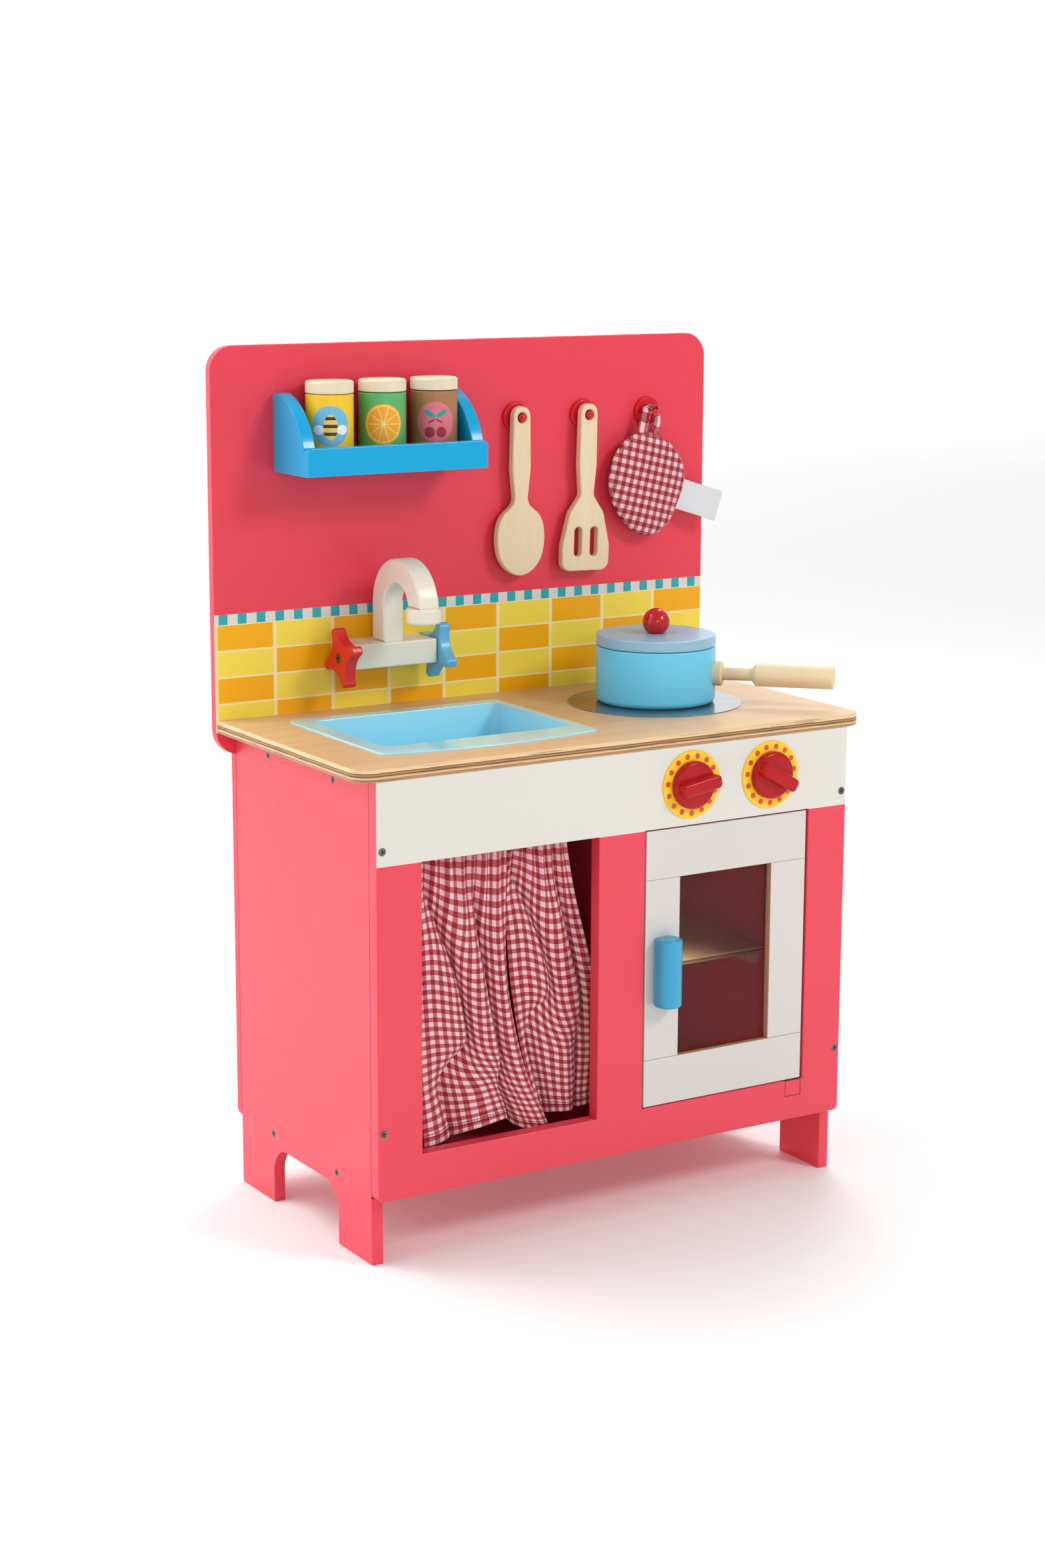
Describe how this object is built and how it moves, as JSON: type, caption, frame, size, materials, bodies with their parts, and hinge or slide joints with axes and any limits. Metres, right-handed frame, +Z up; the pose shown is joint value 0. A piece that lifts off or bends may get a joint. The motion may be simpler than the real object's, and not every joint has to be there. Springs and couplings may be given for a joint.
{
  "type": "toy kitchen",
  "caption": "Painted board play kitchen with oven door, curtained cupboard, sink, tap, hob knobs, spice shelf with jars, hanging utensils and a lidded saucepan.",
  "frame": {"origin": "on the floor, under the middle of the cabinet", "axes": "+Z up, +Y from the front board towards the back board, +X to the right of somebody facing the kitchen"},
  "size_m": [0.5226, 0.2848, 0.75],
  "materials": {
    "red_board": "satin",
    "plywood": "satin",
    "white_paint": "satin",
    "smoke_acrylic": "gloss",
    "blue_paint": "satin",
    "sink_plastic": "gloss",
    "burner_black": "gloss",
    "steel": "satin",
    "catch_plastic": "matte",
    "yellow_paint": "satin",
    "knob_red": "gloss",
    "star_blue": "satin",
    "pan_blue": "satin",
    "lid_blue": "satin",
    "light_wood": "satin",
    "jar_yellow": "satin",
    "jar_green": "satin",
    "jar_brown": "satin",
    "gingham": "matte",
    "tag_cloth": "matte"
  },
  "bodies": {
    "cabinet": {"side_panel_left": "red_board", "side_panel_right": "red_board", "bottom_board": "red_board", "middle_divider": "red_board", "oven_shelf": "plywood", "shelf_battens": "plywood", "worktop_cleats": "plywood", "front_board": "red_board", "back_board": "red_board", "side_screws": "steel", "front_screws": "steel", "back_screws": "steel", "worktop": "plywood", "burner_disc": "burner_black", "hinge_block": "red_board", "hinge_pins": "steel", "magnet_catch": "catch_plastic", "curtain_rod": "light_wood", "rod_holders": "light_wood", "tap_base": "white_paint", "tap_spout": "white_paint", "tap_nozzle": "white_paint", "star_screws": "steel", "dial_plates": "yellow_paint", "spice_shelf_board": "blue_paint", "spice_shelf_rail": "blue_paint", "spice_shelf_ends": "blue_paint", "hooks": "knob_red"},
    "oven_door": {"door_top_rail": "white_paint", "door_bottom_rail": "white_paint", "door_latch_stile": "white_paint", "door_hinge_stile": "white_paint", "door_window": "smoke_acrylic", "door_handle": "blue_paint", "strike_plate": "steel"},
    "left_knob": {"knob_left": "knob_red", "knob_left_screw": "steel"},
    "right_knob": {"knob_right": "knob_red", "knob_right_screw": "steel"},
    "red_star": {"red_star_handle": "knob_red"},
    "blue_star": {"blue_star_handle": "star_blue"},
    "saucepan": {"saucepan_body": "pan_blue", "saucepan_handle": "light_wood"},
    "pan_lid": {"saucepan_lid": "lid_blue", "lid_ball": "knob_red"},
    "yellow_jar_body": {"yellow_jar": "jar_yellow", "yellow_jar_lid": "light_wood"},
    "green_jar_body": {"green_jar": "jar_green", "green_jar_lid": "light_wood"},
    "brown_jar_body": {"brown_jar": "jar_brown", "brown_jar_lid": "light_wood"},
    "sink": {"sink_tray": "sink_plastic"},
    "spoon_body": {"spoon": "light_wood"},
    "spatula_body": {"spatula": "light_wood"},
    "pot_holder_body": {"pot_holder": "gingham", "holder_loop": "gingham", "holder_tag": "tag_cloth"},
    "left_curtain": {"curtain_left": "gingham"},
    "right_curtain": {"curtain_right": "gingham"}
  },
  "joints": [
    {"name": "oven_door_hinge", "type": "hinge", "parent": "cabinet", "child": "oven_door", "pos_m": [0.1875, -0.11575, 0.22], "axis": [0, 0, 1], "range_deg": [0, 115]},
    {"name": "left_knob_turn", "type": "hinge", "parent": "cabinet", "child": "left_knob", "pos_m": [0.0701, -0.1219, 0.3805], "axis": [0, -1, 0], "continuous": true},
    {"name": "right_knob_turn", "type": "hinge", "parent": "cabinet", "child": "right_knob", "pos_m": [0.154, -0.1219, 0.3805], "axis": [0, -1, 0], "continuous": true},
    {"name": "red_star_turn", "type": "hinge", "parent": "cabinet", "child": "red_star", "pos_m": [-0.1464, 0.1046, 0.4765], "axis": [-1, 0, 0], "continuous": true},
    {"name": "blue_star_turn", "type": "hinge", "parent": "cabinet", "child": "blue_star", "pos_m": [-0.0504, 0.1046, 0.4765], "axis": [1, 0, 0], "continuous": true},
    {"name": "saucepan_lift", "type": "slide", "parent": "cabinet", "child": "saucepan", "axis": [0, 0, 1], "range_m": [0, 0.1]},
    {"name": "pan_lid_lift", "type": "slide", "parent": "saucepan", "child": "pan_lid", "axis": [0, 0, 1], "range_m": [0, 0.06]},
    {"name": "yellow_jar_lift", "type": "slide", "parent": "cabinet", "child": "yellow_jar_body", "axis": [0, 0, 1], "range_m": [0, 0.04]},
    {"name": "green_jar_lift", "type": "slide", "parent": "cabinet", "child": "green_jar_body", "axis": [0, 0, 1], "range_m": [0, 0.04]},
    {"name": "brown_jar_lift", "type": "slide", "parent": "cabinet", "child": "brown_jar_body", "axis": [0, 0, 1], "range_m": [0, 0.04]},
    {"name": "sink_lift", "type": "slide", "parent": "cabinet", "child": "sink", "axis": [0, 0, 1], "range_m": [0, 0.018]},
    {"name": "spoon_unhook", "type": "slide", "parent": "cabinet", "child": "spoon_body", "axis": [0, -1, 0], "range_m": [0, 0.03]},
    {"name": "spatula_unhook", "type": "slide", "parent": "cabinet", "child": "spatula_body", "axis": [0, -1, 0], "range_m": [0, 0.03]},
    {"name": "pot_holder_unhook", "type": "slide", "parent": "cabinet", "child": "pot_holder_body", "axis": [0, -1, 0], "range_m": [0, 0.03]},
    {"name": "left_curtain_draw", "type": "slide", "parent": "cabinet", "child": "left_curtain", "axis": [-1, 0, 0], "range_m": [0, 0.02]},
    {"name": "right_curtain_draw", "type": "slide", "parent": "cabinet", "child": "right_curtain", "axis": [1, 0, 0], "range_m": [0, 0.024]}
  ]
}
